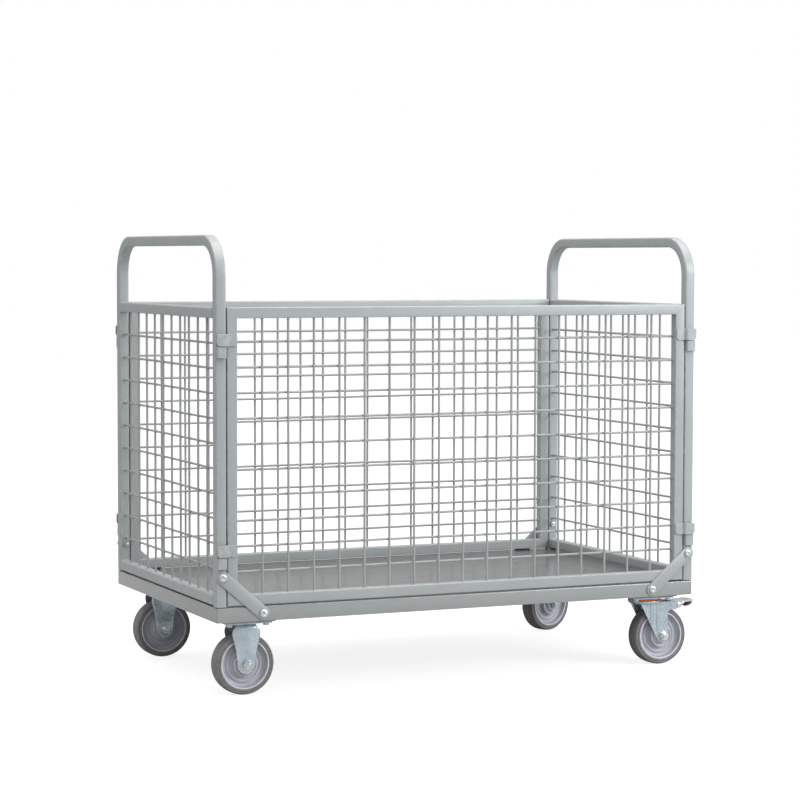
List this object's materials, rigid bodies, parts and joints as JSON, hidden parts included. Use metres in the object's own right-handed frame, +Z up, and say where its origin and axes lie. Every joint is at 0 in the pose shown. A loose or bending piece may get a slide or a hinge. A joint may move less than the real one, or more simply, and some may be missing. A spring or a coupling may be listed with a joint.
{
  "type": "mesh-sided platform cart",
  "caption": "Steel platform cart with bent-tube end handles, wire-mesh ends, lift-off wire-mesh sides, fixed casters at one end and braked swivel casters at the other.",
  "frame": {"origin": "on the floor, at the middle of the whole cart's box, pedals included", "axes": "+X along the deck towards the swivel casters, +Y towards the rear side panel, +Z up"},
  "size_m": [1.291, 0.77, 1.065],
  "materials": {
    "frame_paint": "satin grey powder coat",
    "mesh_paint": "satin grey powder coat on wire",
    "deck_paint": "semi-gloss grey powder coat",
    "zinc_plate": "bright zinc plate with a blue tint",
    "bright_steel": "bright zinc plate",
    "seal": "orange moulded plastic",
    "wheel_core": "moulded grey plastic",
    "tyre": "matt grey rubber"
  },
  "bodies": {
    "cart": {"deck_platform": "deck_paint", "caster_cross_member_left": "frame_paint", "end_hoop_left": "frame_paint", "end_top_rail_left": "frame_paint", "end_bottom_rail_left": "frame_paint", "end_mesh_left": "mesh_paint", "caster_cross_member_right": "frame_paint", "end_hoop_right": "frame_paint", "end_top_rail_right": "frame_paint", "end_bottom_rail_right": "frame_paint", "end_mesh_right": "mesh_paint", "corner_brace_front_left": "frame_paint", "brace_screw_front_left_upper": "bright_steel", "brace_screw_front_left_lower": "bright_steel", "corner_brace_front_right": "frame_paint", "brace_screw_front_right_upper": "bright_steel", "brace_screw_front_right_lower": "bright_steel", "corner_brace_rear_left": "frame_paint", "brace_screw_rear_left_upper": "bright_steel", "brace_screw_rear_left_lower": "bright_steel", "corner_brace_rear_right": "frame_paint", "brace_screw_rear_right_upper": "bright_steel", "brace_screw_rear_right_lower": "bright_steel", "fixed_caster_front_fork": "zinc_plate", "fixed_caster_front_axle": "zinc_plate", "fixed_caster_rear_fork": "zinc_plate", "fixed_caster_rear_axle": "zinc_plate", "swivel_caster_front_top_plate": "zinc_plate", "swivel_caster_rear_top_plate": "zinc_plate"},
    "front_panel": {"front_panel_top_rail": "frame_paint", "front_panel_bottom_rail": "frame_paint", "front_panel_stile_left": "frame_paint", "front_panel_stile_right": "frame_paint", "front_panel_mesh": "mesh_paint"},
    "rear_panel": {"rear_panel_top_rail": "frame_paint", "rear_panel_bottom_rail": "frame_paint", "rear_panel_stile_left": "frame_paint", "rear_panel_stile_right": "frame_paint", "rear_panel_mesh": "mesh_paint"},
    "fixed_wheel_front": {"fixed_caster_front_core": "wheel_core", "fixed_caster_front_tyre": "tyre"},
    "fixed_wheel_rear": {"fixed_caster_rear_core": "wheel_core", "fixed_caster_rear_tyre": "tyre"},
    "swivel_front": {"swivel_caster_front_seal_ring": "seal", "swivel_caster_front_fork": "zinc_plate", "swivel_caster_front_axle": "zinc_plate", "swivel_caster_front_pivot_pin": "zinc_plate"},
    "swivel_wheel_front": {"swivel_caster_front_core": "wheel_core", "swivel_caster_front_tyre": "tyre"},
    "brake_front": {"swivel_caster_front_brake_pedal": "bright_steel"},
    "swivel_rear": {"swivel_caster_rear_seal_ring": "seal", "swivel_caster_rear_fork": "zinc_plate", "swivel_caster_rear_axle": "zinc_plate", "swivel_caster_rear_pivot_pin": "zinc_plate"},
    "swivel_wheel_rear": {"swivel_caster_rear_core": "wheel_core", "swivel_caster_rear_tyre": "tyre"},
    "brake_rear": {"swivel_caster_rear_brake_pedal": "bright_steel"}
  },
  "joints": [
    {"name": "front_panel_lift", "type": "slide", "parent": "cart", "child": "front_panel", "axis": [0, 0, 1], "range_m": [0, 0.15]},
    {"name": "rear_panel_lift", "type": "slide", "parent": "cart", "child": "rear_panel", "axis": [0, 0, 1], "range_m": [0, 0.15]},
    {"name": "fixed_wheel_front_spin", "type": "hinge", "parent": "cart", "child": "fixed_wheel_front", "pos_m": [-0.5545, -0.297, 0.0725], "axis": [0, 1, 0], "continuous": true},
    {"name": "fixed_wheel_rear_spin", "type": "hinge", "parent": "cart", "child": "fixed_wheel_rear", "pos_m": [-0.5545, 0.297, 0.0725], "axis": [0, 1, 0], "continuous": true},
    {"name": "swivel_front_turn", "type": "hinge", "parent": "cart", "child": "swivel_front", "pos_m": [0.5135, -0.297, 0.16], "axis": [0, 0, 1], "continuous": true},
    {"name": "swivel_wheel_front_spin", "type": "hinge", "parent": "swivel_front", "child": "swivel_wheel_front", "pos_m": [0.5495, -0.297, 0.0725], "axis": [0, 1, 0], "continuous": true},
    {"name": "brake_front_press", "type": "hinge", "parent": "swivel_front", "child": "brake_front", "pos_m": [0.5955, -0.297, 0.147], "axis": [0, 1, 0], "range_deg": [0, 20]},
    {"name": "swivel_rear_turn", "type": "hinge", "parent": "cart", "child": "swivel_rear", "pos_m": [0.5135, 0.297, 0.16], "axis": [0, 0, 1], "continuous": true},
    {"name": "swivel_wheel_rear_spin", "type": "hinge", "parent": "swivel_rear", "child": "swivel_wheel_rear", "pos_m": [0.54774, 0.30812, 0.0725], "axis": [-0.309, 0.9511, 0], "continuous": true},
    {"name": "brake_rear_press", "type": "hinge", "parent": "swivel_rear", "child": "brake_rear", "pos_m": [0.59148, 0.32234, 0.147], "axis": [-0.309, 0.9511, 0], "range_deg": [0, 20]}
  ]
}
